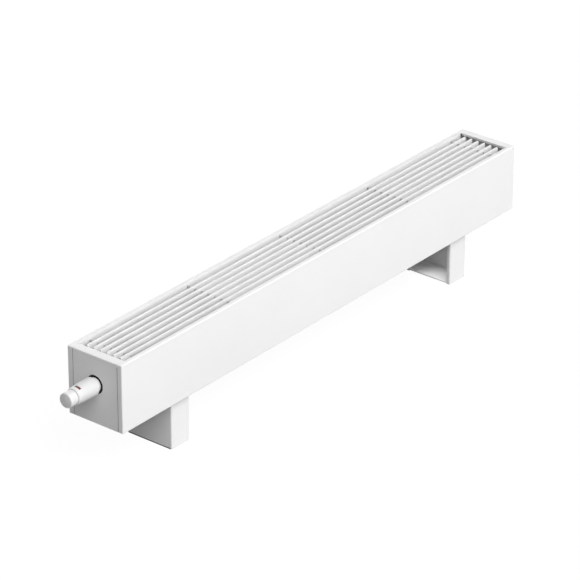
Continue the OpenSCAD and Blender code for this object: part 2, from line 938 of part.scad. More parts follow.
module lockshield_cap() {
    color("white") in_place() difference() {
        rod_z(lock_x, lock_y, lock_top_z, lock_cap_r, lock_cap_l);
        rod_z(
            lock_x, lock_y, lock_top_z - over, lock_cap_r - lock_cap_wall,
            lock_cap_l - lock_cap_wall + over);
    }
}

// Thermostatic head

// Rubber ring that fills the hole round the collar, with a lip behind the plate
module hole_grommet() {
    lip_x = sheet_t + fit_gap;
    back_x = lip_x + grommet_lip_t;
    color([0.1, 0.1, 0.1]) in_place() difference() {
        union() {
            rod_x(grommet_x0, valve_y, upper_z, hole_d / 2 - fit_gap, back_x - grommet_x0);
            rod_x(lip_x, valve_y, upper_z, hole_d / 2 + grommet_lip, grommet_lip_t);
        }
        rod_x(-over, valve_y, upper_z, collar_r + fit_gap, back_x + 2 * over);
    }
}

module head_collar() {
    x0 = -collar_out - collar_in;
    color("white") in_place() difference() {
        union() {
            rod_x(x0, valve_y, upper_z, collar_r, head_flange_x - x0 + over);
            rod_x(head_flange_x, valve_y, upper_z, head_flange_r, insert_x - head_flange_x);
        }
        rod_x(
            x0 - over, valve_y, upper_z, collar_bore_r,
            head_flange_x - collar_web_l - x0 + over);
        rod_x(
            x0 - over, valve_y, upper_z, push_pin_r + run_gap, head_flange_x - x0 + 2 * over);
        rod_x(
            head_flange_x, valve_y, upper_z, head_recess_r,
            insert_x - head_flange_x + over);
    }
}

module head_nut() {
    x0 = head_flange_x - head_nut_lip;
    x1 = insert_x + insert_thread_l;
    color([0.2, 0.2, 0.2]) in_place() difference() {
        rod_x(x0, valve_y, upper_z, head_nut_r, x1 - x0);
        rod_x(x0 - over, valve_y, upper_z, collar_r + fit_gap, x1 - x0);
        rod_x(head_flange_x, valve_y, upper_z, insert_r + fit_gap, x1 - head_flange_x + over);
    }
}

// Radius of the sleeve at a share u of its length, from the collar to the setting cap
function sleeve_r(u) =
    (sleeve_tip_d + (sleeve_d - sleeve_tip_d) * cos(90 * pow(u, sleeve_curve_share))) / 2;

// The same, at a place x along the axis
function sleeve_r_at(x) = sleeve_r((-collar_out - x) / sleeve_l);

// Piece of a ring that follows the sleeve, from the depth under its face up to the rise over it
module ring_piece(depth, rise, x, w, start, sweep) {
    r0 = sleeve_r_at(x);
    r1 = sleeve_r_at(x + w);
    translate([x, valve_y, upper_z]) rotate([0, 90, 0]) rotate([0, 0, 180 + start])
        rotate_extrude(angle = sweep)
            polygon([[r0 - depth, 0], [r0 + rise, 0], [r1 + rise, w], [r1 - depth, w]]);
}

module sleeve_solid() {
    outline = concat(
        [[0, 0], [sleeve_r(1) - sleeve_chamfer, 0]],
        [for (i = [0:sleeve_steps])
            let (u = 1 - i / sleeve_steps)
            [sleeve_r(u), sleeve_chamfer + (sleeve_l - 2 * sleeve_chamfer) * (1 - u)]],
        [[sleeve_r(0) - sleeve_chamfer, sleeve_l], [0, sleeve_l]]);
    translate([sleeve_x, valve_y, upper_z]) rotate([0, 90, 0])
        rotate_extrude() polygon(outline);
}

module head_sleeve() {
    color("white") in_place() difference() {
        sleeve_solid();
        rod_x(
            sleeve_x - over, valve_y, upper_z, cap_stem_r + run_gap,
            sleeve_wall_l + 2 * over);
        rod_x(
            sleeve_x + sleeve_wall_l, valve_y, upper_z, capsule_r + near_gap, sleeve_l);
        rod_x(
            -collar_out - collar_in, valve_y, upper_z, collar_r + fit_gap, collar_in + over);
        ring_piece(
            mark_t, over, mark_x, mark_w, limit_start - mark_fit,
            index_start + mark_sweep - limit_start + 2 * mark_fit);
    }
}

module mark(start) {
    ring_piece(
        mark_t - fit_gap, mark_proud, mark_x + fit_gap, mark_w - 2 * fit_gap, start,
        mark_sweep);
}

module index_mark() {
    color("firebrick") in_place() mark(index_start);
}

module limit_mark() {
    color([0.25, 0.22, 0.24]) in_place() mark(limit_start);
}

// Cap outline: radius against length, domed and then rounded at the outer end, which is at
// length 0. The rounding starts at the dome's slope.
module cap_outline(r, l, edge, dome) {
    slope = atan(2 * dome / (r - edge));
    dome_r = r - edge * (1 - sin(slope));
    polygon(concat(
        [for (i = [0:cap_steps]) let (q = i / cap_steps) [dome_r * q, dome * q * q]],
        [for (i = [1:cap_steps])
            let (a = slope + (90 - slope) * i / cap_steps)
            [r - edge * (1 - sin(a)), dome + edge * (cos(slope) - cos(a))]],
        [[r, l], [0, l]]));
}

module setting_cap() {
    color("white") in_place() {
        difference() {
            translate([cap_end_x, valve_y, upper_z]) rotate([0, 90, 0])
                rotate_extrude() cap_outline(cap_d / 2, cap_l, cap_edge, cap_dome);
            rod_x(
                cap_end_x + 2 * cap_wall, valve_y, upper_z, cap_d / 2 - cap_wall, cap_l);
        }
        rod_x(
            cap_end_x + cap_wall, valve_y, upper_z, cap_stem_r,
            cap_l - cap_wall + cap_stem_l);
    }
}

module sensor_capsule() {
    color("silver") in_place()
        rod_x(capsule_x, valve_y, upper_z, capsule_r, capsule_end_x - capsule_x);
}

module push_pin() {
    color("silver") in_place()
        rod_x(
            capsule_end_x, valve_y, upper_z, push_pin_r,
            pin_x - fit_gap - capsule_end_x);
}

// Feet, drawn for the near end; the open side faces the middle of the casing
module near_foot_place() {
    in_place() translate([foot_inset, foot_recess, 0]) children();
}

module far_foot_place() {
    in_place() at_far_end() translate([foot_inset, foot_recess, 0]) children();
}

foot_d = body_d - 2 * foot_recess;

module foot_shell() {
    difference() {
        union() {
            difference() {
                translate([0, 0, wall_lift])
                    linear_extrude(foot_h - wall_lift) difference() {
                        rounded_rect(foot_w, foot_d, foot_bend_r);
                        translate([foot_t, foot_t])
                            rounded_rect(
                                foot_w - 2 * foot_t, foot_d - 2 * foot_t,
                                foot_bend_r - foot_t);
                    }
                block(
                    [foot_w / 2, foot_fold, -over],
                    [foot_w + over, foot_d - foot_fold, foot_h + over]);
                block([-over, foot_bend_r, -over], [foot_bend_r, foot_d - foot_bend_r, pad_t]);
            }
            for (y = [foot_t / 2, foot_d - foot_flange])
                block(
                    [foot_t / 2, y, foot_h - foot_t],
                    [foot_w - foot_t / 2, y + foot_flange - foot_t / 2, foot_h]);
        }
        for (x = [screw_edge, foot_w - screw_edge])
            for (y = [foot_flange / 2, foot_d - foot_flange / 2])
                rod_z(x, y, foot_h - foot_t - over, screw_r + fit_gap, foot_t + 2 * over);
    }
}

// Plate that fits inside the shell, from its closed side to x1
module foot_inner(x1, t) {
    inset = foot_t + fit_gap;
    translate([inset, inset, 0]) linear_extrude(t)
        rounded_rect(x1 - inset, foot_d - 2 * inset, foot_bend_r - inset);
}

module foot_base() {
    fold = foot_fold + fit_gap;
    translate([0, 0, pad_t]) {
        foot_inner(foot_w - foot_t - fit_gap, base_t);
        block([foot_w / 2, fold, 0], [foot_w, foot_d - fold, base_t]);
    }
}

module foot_pad() {
    foot_inner(foot_w - pad_short, pad_t);
    block([fit_gap, foot_bend_r + fit_gap, 0], [foot_w / 2, foot_d - foot_bend_r - fit_gap, pad_t]);
}

module near_foot_shell() {
    color("white") near_foot_place() foot_shell();
}

module far_foot_shell() {
    color("white") far_foot_place() foot_shell();
}

module near_foot_base() {
    color("whitesmoke") near_foot_place() foot_base();
}

module far_foot_base() {
    color("whitesmoke") far_foot_place() foot_base();
}

module near_foot_pad() {
    color([0.12, 0.12, 0.12]) near_foot_place() foot_pad();
}

module far_foot_pad() {
    color([0.12, 0.12, 0.12]) far_foot_place() foot_pad();
}

// Screws and nuts
module screw_up(p, z, l) {
    rod_z(p[0], p[1], z, screw_r, l);
    rod_z(
        p[0], p[1], z - screw_head_l_share * screw_d, screw_head_share * screw_d,
        screw_head_l_share * screw_d);
}

module foot_screws() {
    color("silver") in_place()
        for (p = foot_screw_places) screw_up(p, casing_z - foot_t, foot_screw_l);
}

module foot_nuts() {
    color("silver") in_place() for (p = foot_screw_places) difference() {
        hex_z(p[0], p[1], casing_z + sheet_t, nut_af_share * screw_d, nut_l_share * screw_d);
        rod_z(p[0], p[1], casing_z, screw_r + fit_gap, foot_screw_l + over);
    }
}

module bracket_screws() {
    color("silver") in_place()
        for (p = bracket_screw_places) screw_up(p, casing_z, bracket_screw_l);
}

module joint_screws() {
    head_r = screw_head_share * joint_screw_d;
    head_l = screw_head_l_share * joint_screw_d;
    front_y1 = plate_y0 + sheet_t;
    back_y0 = plate_y1 - sheet_t;
    color("silver") in_place() at_both_ends() for (z = joint_screw_levels) {
        rod_y(joint_screw_x, front_y1 - joint_screw_l, z, joint_screw_r, joint_screw_l);
        rod_y(joint_screw_x, front_y1, z, head_r, head_l);
        rod_y(joint_screw_x, back_y0, z, joint_screw_r, joint_screw_l);
        rod_y(joint_screw_x, back_y0 - head_l, z, head_r, head_l);
    }
}

front_panel();
back_panel();
valve_end_plate();
far_end_plate();
joint_seals();
for (i = [1:bar_count]) grille_bar(i);
grille_rods();
grille_spacers();
near_bracket();
far_bracket();
grille_bridge();
fin_block();
copper_tube(tube_places[0]);  // upper_front_tube
copper_tube(tube_places[1]);  // upper_back_tube
copper_tube(tube_places[2]);  // lower_front_tube
copper_tube(tube_places[3]);  // lower_back_tube
return_bend(front_y);  // front_return_bend
return_bend(back_y);  // back_return_bend
supply_header();
return_header();
vent_body();
vent_screw();
valve_body();
valve_insert();
valve_pin();
valve_disc();
return_spring();
lockshield_body();
lockshield_bonnet();
lockshield_spindle();
lockshield_plug();
lockshield_cap();
union_tails();
union_nuts();
hole_grommet();
head_collar();
head_nut();
head_sleeve();
setting_cap();
sensor_capsule();
push_pin();
index_mark();
limit_mark();
near_foot_shell();
far_foot_shell();
near_foot_base();
far_foot_base();
near_foot_pad();
far_foot_pad();
foot_screws();
foot_nuts();
bracket_screws();
joint_screws();
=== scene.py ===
"""Looks of the floor-standing convector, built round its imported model.

Everything is in metres, in the model's own frame: +X along the casing, -Y out of the
front, Z = 0 on the floor.
"""

import json
from math import cos, pi, radians, sin, tan

import bmesh
import bpy
from mathutils import Matrix, Vector


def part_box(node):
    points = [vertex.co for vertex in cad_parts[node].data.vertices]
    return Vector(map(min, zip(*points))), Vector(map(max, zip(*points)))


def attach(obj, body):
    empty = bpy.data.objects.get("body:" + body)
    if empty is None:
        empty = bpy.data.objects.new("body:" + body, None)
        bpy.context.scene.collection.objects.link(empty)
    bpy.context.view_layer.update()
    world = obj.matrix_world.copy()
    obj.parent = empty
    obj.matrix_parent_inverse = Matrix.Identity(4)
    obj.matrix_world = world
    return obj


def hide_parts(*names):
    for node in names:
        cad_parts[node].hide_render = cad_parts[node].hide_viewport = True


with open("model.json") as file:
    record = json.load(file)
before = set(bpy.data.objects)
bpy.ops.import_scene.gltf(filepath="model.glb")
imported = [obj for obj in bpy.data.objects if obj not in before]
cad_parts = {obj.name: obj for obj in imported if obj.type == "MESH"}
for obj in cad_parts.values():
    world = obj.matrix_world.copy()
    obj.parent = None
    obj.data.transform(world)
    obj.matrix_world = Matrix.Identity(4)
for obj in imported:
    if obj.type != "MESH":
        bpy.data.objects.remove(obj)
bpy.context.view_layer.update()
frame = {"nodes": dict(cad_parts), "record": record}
NODES = frame["nodes"]
MM = 0.001

# The casing, from the frame
CASING_LOW, CASING_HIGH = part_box("front_panel")
CASING_MID_X = (CASING_LOW.x + CASING_HIGH.x) / 2

# The photograph's camera, solved from the casing's edges: which way it looks, how far it
# stands from the point that it aims at, and how far it is shifted right and up from there
CAM_YAW = radians(51.141)
CAM_PITCH = radians(27.181)
CAM_DISTANCE = 7.16
CAM_RIGHT = -24.422 * MM
CAM_UP = -28.694 * MM
CAM_LENS = 231.807
CAM_SENSOR = 36
CAM_CLIP_END = 100
AIM_ABOVE_CASING_BOTTOM = 65 * MM

# Light: broad soft suns. For each, degrees round from the front towards the near end,
# degrees above the floor, and energy
SUNS = (
    (0, 50, 1.00),
    (30, 50, 1.00),
    (-60, 30, 0.99),
    (0, 15, 1.26),
    (-150, 16, 0.65),
    (60, 34, 0.55),
    (180, 14, 1.00),
)
SUN_SPREAD = radians(40)

# Fill: a small lamp under the casing above the open side of each foot, nearer its front
FILL_POWER = 0.19
FILL_CONE = radians(64)
FILL_RADIUS = 8 * MM
FILL_BELOW_CASING = 4 * MM
FILL_Y_SHARE = 0.35

# The floor's size, in metres, the share of light that it throws back onto the object, and
# what the camera sees of it: a glow near white, and the share of light that shows a shadow
FLOOR_SIZE = 40
FLOOR_BOUNCE = 0.22
FLOOR_GLOW = 0.945
FLOOR_CATCH = 0.08

# The middle range of a pattern, which is spread over the whole of what it drives
PATTERN_LOW = 0.3
PATTERN_HIGH = 0.7
NOISE_ROUGHNESS = 0.55


def linear(srgb):
    """A colour written as sRGB shares, as the linear values that shaders take."""
    return [c / 12.92 if c <= 0.04045 else ((c + 0.055) / 1.055) ** 2.4 for c in srgb]


class Shader:
    """A material in the making: its Principled shader, and the nodes that feed it."""

    def __init__(self, name, colour, roughness, metallic=0.0, **sockets):
        self.mat = bpy.data.materials.new(name)
        self.mat.use_nodes = True
        self.tree = self.mat.node_tree
        self.bsdf = self.tree.nodes["Principled BSDF"]
        self.colour = linear(colour)
        self.bsdf.inputs["Base Color"].default_value = (*self.colour, 1)
        self.bsdf.inputs["Roughness"].default_value = roughness
        self.bsdf.inputs["Metallic"].default_value = metallic
        for socket, value in sockets.items():
            self.bsdf.inputs[socket.replace("_", " ")].default_value = value
        self.place = self.tree.nodes.new("ShaderNodeTexCoord").outputs["Object"]
        self.last_bump = None

    def link(self, out, to):
        self.tree.links.new(out, to)

    def stretched(self, stretch):
        """The object's coordinates, scaled along each axis; a low value draws a pattern out."""
        node = self.tree.nodes.new("ShaderNodeMapping")
        node.inputs["Scale"].default_value = stretch
        self.link(self.place, node.inputs["Vector"])
        return node.outputs["Vector"]

    def noise(self, size, detail=3, stretch=None):
        """Cloudy noise whose features are about size across, in metres."""
        node = self.tree.nodes.new("ShaderNodeTexNoise")
        node.inputs["Scale"].default_value = 1 / size
        node.inputs["Detail"].default_value = detail
        node.inputs["Roughness"].default_value = NOISE_ROUGHNESS
        self.link(self.stretched(stretch) if stretch else self.place, node.inputs["Vector"])
        return node.outputs["Fac"]

    def cells(self, size, output="Distance"):
        """Cells about size across: their distance field, or a random colour for each."""
        node = self.tree.nodes.new("ShaderNodeTexVoronoi")
        node.inputs["Scale"].default_value = 1 / size
        self.link(self.place, node.inputs["Vector"])
        return node.outputs[output]

    def ranged(self, value, low, high):
        """Maps a pattern's middle range onto low to high."""
        node = self.tree.nodes.new("ShaderNodeMapRange")
        node.inputs["From Min"].default_value = PATTERN_LOW
        node.inputs["From Max"].default_value = PATTERN_HIGH
        node.inputs["To Min"].default_value = low
        node.inputs["To Max"].default_value = high
        self.link(value, node.inputs["Value"])
        return node.outputs["Result"]

    def tint(self, value, colour, most):
        """Mixes the base colour towards another where the pattern is high."""
        mix = self.tree.nodes.new("ShaderNodeMix")
        mix.data_type = "RGBA"
        self.link(self.ranged(value, 0, most), mix.inputs["Factor"])
        base = self.bsdf.inputs["Base Color"]
        if base.is_linked:
            self.link(base.links[0].from_socket, mix.inputs["A"])
        else:
            mix.inputs["A"].default_value = (*self.colour, 1)
        mix.inputs["B"].default_value = (*linear(colour), 1)
        self.link(mix.outputs["Result"], base)

    def roughen(self, value, low, high):
        """Varies the roughness from low to high with the pattern."""
        self.link(self.ranged(value, low, high), self.bsdf.inputs["Roughness"])

    def bump(self, value, depth):
        """Raises the surface by up to depth, in metres, where the pattern is high."""
        node = self.tree.nodes.new("ShaderNodeBump")
        node.inputs["Distance"].default_value = depth
        node.inputs["Strength"].default_value = 1
        self.link(value, node.inputs["Height"])
        if self.last_bump:
            self.link(self.last_bump, node.inputs["Normal"])
        self.last_bump = node.outputs["Normal"]
        self.link(self.last_bump, self.bsdf.inputs["Normal"])


def grey(shade):
    return [shade, shade, shade]


def darker(colour, share):
    return [c * share for c in colour]


def powder_coat(name, shade):
    """White powder coat: a fine orange peel with a faint grain."""
    s = Shader(name, grey(shade), roughness=0.46, Specular_IOR_Level=0.4)
    s.tint(s.noise(size=140 * MM), grey(shade - 0.02), most=0.5)
    s.tint(s.noise(size=0.9 * MM, detail=2), grey(shade - 0.045), most=0.35)
    s.roughen(s.noise(size=2.5 * MM), low=0.40, high=0.54)
    s.bump(s.noise(size=1.6 * MM, detail=2), depth=0.035 * MM)
    s.bump(s.noise(size=0.35 * MM, detail=1), depth=0.012 * MM)
    return s.mat


def coated_bar(name):
    """Powder coat over drawn aluminium bars, with a faint grain along the bar."""
    s = Shader(name, grey(0.925), roughness=0.44, Specular_IOR_Level=0.4)
    s.tint(s.noise(size=0.8 * MM, stretch=(0.02, 1, 1)), grey(0.885), most=0.4)
    s.tint(s.noise(size=90 * MM), grey(0.905), most=0.5)
    s.roughen(s.noise(size=2 * MM, stretch=(0.05, 1, 1)), low=0.38, high=0.52)
    s.bump(s.noise(size=0.5 * MM, detail=2, stretch=(0.03, 1, 1)), depth=0.012 * MM)
    s.bump(s.noise(size=1.2 * MM, detail=2), depth=0.02 * MM)
    return s.mat


MOULD_GRAIN = 0.3 * MM
MOULD_DEPTH = 0.01 * MM


def moulded(name, colour, rough=0.4, mottle=0.02):
    """Moulded plastic with a fine sparked grain."""
    s = Shader(name, colour, rough, Specular_IOR_Level=0.45)
    s.tint(s.noise(size=18 * MM), [max(0, c - mottle) for c in colour], most=0.6)
    s.roughen(s.noise(size=1.5 * MM), low=rough - 0.05, high=rough + 0.08)
    s.bump(s.noise(MOULD_GRAIN, detail=2), MOULD_DEPTH)
    s.bump(s.cells(MOULD_GRAIN * 2), MOULD_DEPTH / 2)
    return s.mat


def rubber(name, shade):
    """Dark rubber, a little lighter in patches, with a matt skin."""
    s = Shader(name, grey(shade), roughness=0.8, Specular_IOR_Level=0.3)
    s.tint(s.noise(size=6 * MM), grey(1.4 * shade), most=0.5)
    s.roughen(s.noise(size=1 * MM), low=0.7, high=0.9)
    s.bump(s.noise(size=0.5 * MM), depth=0.04 * MM)
    return s.mat


METAL_GRAIN = 0.4 * MM
METAL_DEPTH = 0.01 * MM


def metal(name, colour, rough, streak=None, stain=None):
    """Bare metal: streaks along the drawing or turning, duller stains, and a fine grain."""
    s = Shader(name, colour, rough, metallic=1)
    if stain:
        s.tint(s.noise(size=22 * MM, detail=4), stain, most=0.7)
    s.tint(s.noise(METAL_GRAIN * 1.5, stretch=streak), darker(colour, 0.86), most=0.6)
    s.roughen(s.noise(size=3 * MM, detail=4, stretch=streak), low=rough - 0.07, high=rough + 0.1)
    s.bump(s.noise(METAL_GRAIN, detail=2, stretch=streak), METAL_DEPTH)
    return s.mat


SPANGLE = 7 * MM


def galvanised(name):
    """Zinc-dipped sheet with its spangle."""
    s = Shader(name, [0.76, 0.77, 0.78], roughness=0.42, metallic=1)
    s.tint(s.cells(SPANGLE, "Color"), [0.64, 0.65, 0.67], most=0.8)
    s.tint(s.noise(size=1 * MM), [0.7, 0.71, 0.72], most=0.4)
    s.roughen(s.cells(SPANGLE, "Color"), low=0.34, high=0.52)
    s.bump(s.noise(size=0.6 * MM, detail=2), depth=0.012 * MM)
    return s.mat


def cast(name, colour, rough):
    """Plated casting: a pebbled skin under a satin plating."""
    s = Shader(name, colour, rough, metallic=1)
    s.tint(s.noise(size=9 * MM, detail=4), darker(colour, 0.88), most=0.7)
    s.roughen(s.noise(size=2 * MM), low=rough - 0.06, high=rough + 0.12)
    s.bump(s.noise(size=1.4 * MM, detail=2), depth=0.05 * MM)
    s.bump(s.noise(size=0.4 * MM, detail=2), depth=0.015 * MM)
    return s.mat


# How far a pattern is drawn out along one axis
ALONG_X = (0.04, 1, 1)
ALONG_Y = (1, 0.04, 1)
ALONG_Z = (1, 1, 0.04)

# A material for each slot of the model, with its name, colour or shade, and roughness. Bare
# metal also has the way it was drawn or turned, and the colour of its stains
MATERIALS = {
    "casing_paint": powder_coat("casing_powder_coat", 0.935),
    "foot_paint": powder_coat("foot_powder_coat", 0.93),
    "grille_paint": coated_bar("grille_powder_coat"),
    "rod_steel": metal("drawn_rod_steel", grey(0.7), 0.4, ALONG_Y),
    "spacer_plastic": moulded("spacer_plastic", grey(0.72), 0.5),
    "galvanised_steel": galvanised("galvanised_sheet"),
    "fin_aluminium": metal("fin_aluminium", grey(0.88), 0.36, ALONG_Z, grey(0.8)),
    "copper": metal("drawn_copper", [0.85, 0.56, 0.42], 0.3, ALONG_X, [0.66, 0.4, 0.28]),
    "header_brass": metal("brazed_brass", [0.8, 0.68, 0.44], 0.34, ALONG_Y, [0.6, 0.46, 0.28]),
    "turned_brass": metal("turned_brass", [0.85, 0.73, 0.46], 0.26, ALONG_Z, [0.74, 0.6, 0.36]),
    "nickel": cast("nickel_plated_casting", [0.76, 0.75, 0.72], 0.3),
    "pin_steel": metal("bright_pin_steel", [0.72, 0.72, 0.73], 0.24, ALONG_X),
    # Near-black rubber for the casing's seals: real seals, but kept this dark as painted shade
    # for the deep gaps they sit in
    "seal_rubber": rubber("seal_rubber", 0.05),
    "head_plastic": moulded("head_plastic", grey(0.9), 0.36),
    "nut_plastic": moulded("nut_plastic", [0.3, 0.3, 0.31], 0.5),
    "index_red": moulded("index_red_plastic", [0.5, 0.13, 0.15], mottle=0.05),
    "limit_grey": moulded("limit_grey_plastic", [0.4, 0.37, 0.38], mottle=0.05),
    # Dark rubber pads under the feet: real pads, whose dark line along each foot's lower edge
    # also paints the contact shadow there
    "pad_rubber": rubber("pad_rubber", 0.17),
    "zinc": metal("zinc_plated_steel", [0.74, 0.745, 0.72], 0.32, stain=[0.64, 0.64, 0.58]),
}


SHARP = radians(35)
JOIN_DISTANCE = 0.001 * MM
EDGE_SEGMENTS = 2

# How far the edges of each slot's pieces are broken
EDGES = {
    "casing_paint": 0.15 * MM,
    "foot_paint": 0.3 * MM,
    "grille_paint": 0.4 * MM,
    "spacer_plastic": 0.25 * MM,
    "rod_steel": 0.3 * MM,
    "galvanised_steel": 0.2 * MM,
    "header_brass": 0.4 * MM,
    "turned_brass": 0.25 * MM,
    "nickel": 0.5 * MM,
    "seal_rubber": 0.1 * MM,
    "pad_rubber": 0.4 * MM,
    "head_plastic": 0.25 * MM,
    "index_red": 0.05 * MM,
    "limit_grey": 0.05 * MM,
}


def make_joiner():
    """Modifier nodes that join a mesh's split edges and shade it smooth between sharp ones."""
    group = bpy.data.node_groups.new("join_and_shade", "GeometryNodeTree")
    for side in ("INPUT", "OUTPUT"):
        group.interface.new_socket("Mesh", in_out=side, socket_type="NodeSocketGeometry")
    new, link = group.nodes.new, group.links.new
    join = new("GeometryNodeMergeByDistance")
    join.inputs["Distance"].default_value = JOIN_DISTANCE
    sharp = new("FunctionNodeCompare")
    sharp.inputs[1].default_value = SHARP
    shade = new("GeometryNodeSetMeshNormal")
    shade.mode = "SHARPNESS"
    shade.inputs["Remove Custom"].default_value = True
    link(new("NodeGroupInput").outputs[0], join.inputs["Geometry"])
    link(new("GeometryNodeInputMeshEdgeAngle").outputs["Unsigned Angle"], sharp.inputs[0])
    link(join.outputs["Geometry"], shade.inputs["Mesh"])
    link(sharp.outputs["Result"], shade.inputs["Edge Sharpness"])
    link(shade.outputs["Mesh"], new("NodeGroupOutput").inputs[0])
    return group


JOINER = make_joiner()


def finish_node(node, slot):
    """Gives a node of the model the material of its slot, smooth curves and broken edges."""
    piece = NODES[node]
    piece.data.materials.clear()
    piece.data.materials.append(MATERIALS[slot])
    piece.modifiers.new("join", "NODES").node_group = JOINER
    if slot in EDGES:
        bevel = piece.modifiers.new("edges", "BEVEL")
        bevel.width = EDGES[slot]
        bevel.segments = EDGE_SEGMENTS
        bevel.limit_method = "ANGLE"
        bevel.angle_limit = SHARP
        bevel.harden_normals = True


for subpart in frame["record"]["subparts"]:
    finish_node(subpart["node"], subpart["material_slot"])


RING_STEPS = 72

# The share of a flute's pitch that stays plain
LAND = 0.35


def hexagon(af):
    """The radius of a hexagon of that width across its flats, at an angle."""
    return lambda a: af / 2 / cos((a + pi / 6) % (pi / 3) - pi / 6)


def fluted(radius, depth, count):
    """The radius of a round grip with scooped flutes, at an angle."""
    def at(a):
        u = a * count / (2 * pi) % 1
        return radius - depth * sin(pi * (u - LAND) / (1 - LAND)) if u > LAND else radius
    return at


def turned(rings, place, direction, steps=RING_STEPS, closed=False):
    """Mesh data of a turned piece, as points and faces.

    Each ring is a radius, or a function of the angle, and a height along direction from
    place, or a function of the angle. A closed piece joins its last ring to its first; any
    other piece is capped by a face across its first ring and another across its last.
    """
    turn = Vector(direction).to_track_quat("Z", "Y").to_matrix()
    points, faces = [], []
    for radius, height in rings:
        for k in range(steps):
            a = 2 * pi * k / steps
            r = radius(a) if callable(radius) else radius
            h = height(a) if callable(height) else height
            points.append(Vector(place) + turn @ Vector((r * cos(a), r * sin(a), h)))
    count = len(rings)
    for i in range(count if closed else count - 1):
        for k in range(steps):
            j, m = (i + 1) % count, (k + 1) % steps
            faces.append((i * steps + k, i * steps + m, j * steps + m, j * steps + k))
    if not closed:
        faces.append(tuple(reversed(range(steps))))
        faces.append(tuple(range((count - 1) * steps, count * steps)))
    return points, faces


def make_piece(name, parts, slot, body, replaced=()):
    """One object from turned pieces, riding on a body in place of nodes of the model."""
    points, faces = [], []
    for part_points, part_faces in parts:
        start = len(points)
        points += part_points
        faces += [tuple(start + v for v in f) for f in part_faces]
    mesh = bpy.data.meshes.new(name)
    mesh.from_pydata(points, [], faces)
    bm = bmesh.new()
    bm.from_mesh(mesh)
    bmesh.ops.recalc_face_normals(bm, faces=bm.faces)
    bm.to_mesh(mesh)
    bm.free()
    mesh.shade_smooth()
    mesh.set_sharp_from_angle(angle=SHARP)
    mesh.materials.append(MATERIALS[slot])
    piece = bpy.data.objects.new(name, mesh)
    bpy.context.scene.collection.objects.link(piece)
    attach(piece, body)
    if replaced:
        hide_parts(*replaced)
    return piece


# A nut's end face, as a share of its width across the flats, and the turned corners' slope
NUT_FACE_SHARE = 0.96
CHAMFER_SLOPE = tan(radians(30))


def hex_nut(place, direction, af, length, bore, lip_bore=None, lip=0):
    """A nut whose corners are turned off at both ends, with its bore.

    The bore may narrow to a lip of that length at the far end.
    """
    side = hexagon(af)
    edge = af / 2 * NUT_FACE_SHARE
    outside = [
        (bore, 0),
        (edge, 0),
        (side, lambda a: (side(a) - edge) * CHAMFER_SLOPE),
        (side, lambda a: length - (side(a) - edge) * CHAMFER_SLOPE),
        (edge, length),
    ]
    inside = [(bore, length)]
    if lip:
        inside = [(lip_bore, length), (lip_bore, length - lip), (bore, length - lip)]
    return turned(outside + inside, place, direction, closed=True)


SCREW_STEPS = 24

# Shares of a screw's radius: its socket across the flats, its thread and its tip
SOCKET_SHARE = 1.5
PITCH_SHARE = 0.32
ROOT_SHARE = 0.88
TIP_SHARE = 0.8

# Shares of a screw's head: how high up it the floor of the socket lies, and the radius and
# height of the rings that round its end
SOCKET_FLOOR_SHARE = 0.45
HEAD_ROUNDING = ((0.86, 1), (0.97, 0.9), (1, 0.75), (1, 0))

# Where the crest of a thread ends, as a share of its pitch
CREST_SHARE = 0.55


def socket_screw(place, direction, radius, length, head_radius, head_length):
    """A cap screw with a hexagon socket; direction points from the head to the tip."""
    socket = hexagon(radius * SOCKET_SHARE)
    pitch = radius * PITCH_SHARE
    rings = [(socket, -head_length * SOCKET_FLOOR_SHARE), (socket, -head_length)]
    for across, up in HEAD_ROUNDING:
        rings.append((head_radius * across, -head_length * up))
    rings.append((radius, 0))
    for k in range(int((length - pitch) / pitch)):
        rings.append((radius, (k + CREST_SHARE) * pitch))
        rings.append((radius * ROOT_SHARE, (k + 1) * pitch))
    rings += [(radius, length - pitch / 2), (radius * TIP_SHARE, length)]
    return turned(rings, place, direction, SCREW_STEPS)


FILLET_STEPS = 32
FILLET_ARC_STEPS = 5

# How far a fillet reaches into the socket, as a share of its size
FILLET_SUNK_SHARE = 0.2


def fillet(place, direction, radius, size):
    """A ring of solder in the corner round a tube, where it enters a socket facing direction."""
    sunk = -size * FILLET_SUNK_SHARE
    rings = [(radius, sunk), (radius, size)]
    for k in range(1, FILLET_ARC_STEPS):
        a = pi / 2 * k / FILLET_ARC_STEPS
        rings.append((radius + size * (1 - sin(a)), size * (1 - cos(a))))
    rings += [(radius + size, 0), (radius + size, sunk)]
    return turned(rings, place, direction, FILLET_STEPS, closed=True)


def solids(node):
    """The lowest and highest corners of each separate solid of a node."""
    bm = bmesh.new()
    bm.from_mesh(NODES[node].data)
    bmesh.ops.remove_doubles(bm, verts=bm.verts, dist=JOIN_DISTANCE)
    left = set(bm.verts)
    boxes = []
    while left:
        reached = [left.pop()]
        for vert in reached:
            for e in vert.link_edges:
                other = e.other_vert(vert)
                if other in left:
                    left.remove(other)
                    reached.append(other)
        corners = list(zip(*(vert.co for vert in reached)))
        boxes.append((Vector(map(min, corners)), Vector(map(max, corners))))
    bm.free()
    return sorted(boxes, key=lambda box: tuple(box[0]))


# A screw's head radius and length, and the width of its nut, as shares of its diameter, and
# the model's clearance for fixed pieces
HEAD_RADIUS_SHARE = 0.9
HEAD_LENGTH_SHARE = 0.5
NUT_SHARE = 1.6
FIT = 0.15 * MM
UP = Vector((0, 0, 1))
INWARDS = Vector((1, 0, 0))


